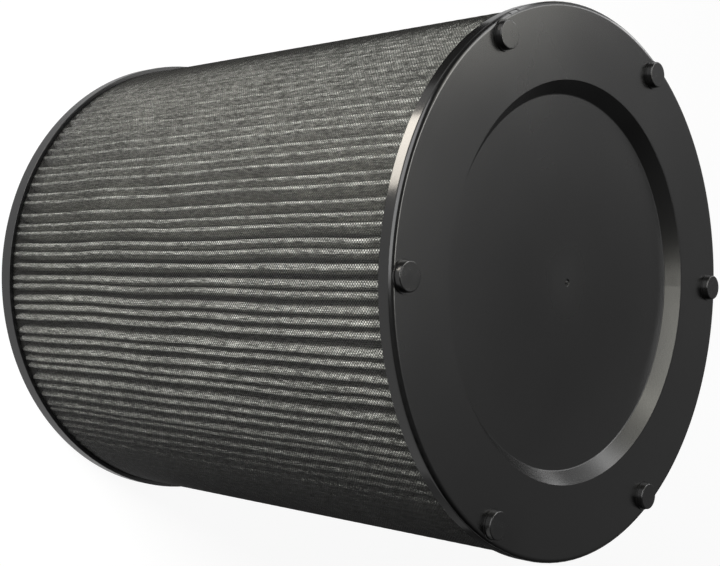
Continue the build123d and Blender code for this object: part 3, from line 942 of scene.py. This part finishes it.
families = add(net_tree, "GeometryNodeJoinGeometry")
for way, lift in ((1.0, 0.0), (-1.0, 1.0)):
    line = add(net_tree, "GeometryNodeMeshLine", {"Count": size["Steps"]})
    line = add(net_tree, "GeometryNodeMeshToCurve", {"Mesh": line})
    last = add(net_tree, "ShaderNodeMath", {0: size["Steps"], 1: 1.0}, operation="SUBTRACT")
    along = add(net_tree, "ShaderNodeMath", {0: add(net_tree, "GeometryNodeInputIndex"), 1: last},
                operation="DIVIDE")
    turn = add(net_tree, "ShaderNodeMath", {0: along, 1: size["Slant"]}, operation="MULTIPLY")
    turn = add(net_tree, "ShaderNodeMath", {0: turn, 1: way}, operation="MULTIPLY")
    level = add(net_tree, "ShaderNodeMath", {
        0: along, 1: size["Height"], 2: size["Bottom"],
    }, operation="MULTIPLY_ADD")
    reach = add(net_tree, "ShaderNodeMath", {
        0: size["Arch"], 1: lift, 2: size["Radius"],
    }, operation="MULTIPLY_ADD")
    spot = add(net_tree, "ShaderNodeCombineXYZ", {"X": reach, "Z": level})
    spot = add(net_tree, "ShaderNodeVectorRotate", {"Vector": spot, "Angle": turn}, rotation_type="Z_AXIS")
    line = add(net_tree, "GeometryNodeSetPosition", {"Geometry": line, "Position": spot})
    line = add(net_tree, "GeometryNodeSetCurveNormal", {"Curve": line}, mode="Z_UP")
    thread = add(net_tree, "GeometryNodeCurveToMesh", {"Curve": line, "Profile Curve": arch})
    places = add(net_tree, "GeometryNodeMeshLine", {"Count": size["Threads"], "Offset": (0.0, 0.0, 0.0)})
    share = add(net_tree, "ShaderNodeMath", {
        0: add(net_tree, "GeometryNodeInputIndex"), 1: size["Threads"],
    }, operation="DIVIDE")
    share = add(net_tree, "ShaderNodeMath", {0: share, 1: math.tau}, operation="MULTIPLY")
    turned = add(net_tree, "ShaderNodeCombineXYZ", {"Z": share})
    copies = add(net_tree, "GeometryNodeInstanceOnPoints", {
        "Points": places, "Instance": thread, "Rotation": turned,
    })
    net_tree.links.new(copies.outputs[0], families.inputs[0])
print("a thread has", thread_steps, "steps")

# %% [markdown]
# The sleeve's seam is a plain band over the full height, just outside both families.

# %% Net tree: the seam
seam_width = 8.0 * MM
seam_lift = 2.5
seam_rows = 30

band = add(net_tree, "GeometryNodeMeshGrid", {
    "Size X": size["Height"], "Size Y": size["Seam width"], "Vertices X": seam_rows, "Vertices Y": 3,
})
middle_level = add(net_tree, "ShaderNodeMath", {
    0: size["Height"], 1: 0.5, 2: size["Bottom"],
}, operation="MULTIPLY_ADD")
band_reach = add(net_tree, "ShaderNodeMath", {
    0: size["Arch"], 1: seam_lift, 2: size["Radius"],
}, operation="MULTIPLY_ADD")
band_place = add(net_tree, "ShaderNodeCombineXYZ", {"X": band_reach, "Z": middle_level})
band = add(net_tree, "GeometryNodeTransform", {
    "Geometry": band, "Translation": band_place, "Rotation": (0.0, math.pi / 2, 0.0),
})
net_tree.links.new(band.outputs[0], families.inputs[0])
print("the seam is", round(seam_width / MM, 1), "mm wide")

# %% [markdown]
# Knitted threads drift a little from their true lines, by a smooth noise with lumps about 30 mm wide.

# %% Net tree: let the threads drift
net_drift = 1.2 * MM
drift_lumps = 30.0

whole = add(net_tree, "GeometryNodeRealizeInstances", {"Geometry": families})
where = add(net_tree, "GeometryNodeInputPosition")
noise = add(net_tree, "ShaderNodeTexNoise", {"Vector": where, "Scale": drift_lumps, "Detail": 1.0})
drift = add(net_tree, "ShaderNodeMath", {0: noise, 1: 0.5}, operation="SUBTRACT")
drift = add(net_tree, "ShaderNodeMath", {0: drift, 1: size["Drift"]}, operation="MULTIPLY")
drift = add(net_tree, "ShaderNodeMath", {0: drift, 1: size["Radius"]}, operation="DIVIDE")
moved = add(net_tree, "ShaderNodeVectorRotate", {"Vector": where, "Angle": drift}, rotation_type="Z_AXIS")
whole = add(net_tree, "GeometryNodeSetPosition", {"Geometry": whole, "Position": moved})
whole = add(net_tree, "GeometryNodeSetMaterial", {"Geometry": whole, "Material": size["Material"]})
add(net_tree, "NodeGroupOutput", {"Geometry": whole})
print("net tree has", len(net_tree.nodes), "nodes")

# %% [markdown]
# The net becomes a mesh in the same way and takes the place of the CAD sleeve. The real one is a tube that
# is stretched over the folds. Cut open and laid flat it is as wide as it is round, and most of that is
# holes.

# %% Grow the net
net = grown("knitted_net", net_tree, {
    "Threads": threads_round,
    "Steps": thread_steps + 1,
    "Radius": net_radius,
    "Bottom": sleeve_low.z,
    "Height": net_height,
    "Slant": slant,
    "Thread width": thread_width,
    "Arch": thread_arch,
    "Seam width": seam_width,
    "Drift": net_drift,
    "Material": yarn_finish,
})
net.data.shade_smooth()
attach(net, "root")
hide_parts("net_sleeve")
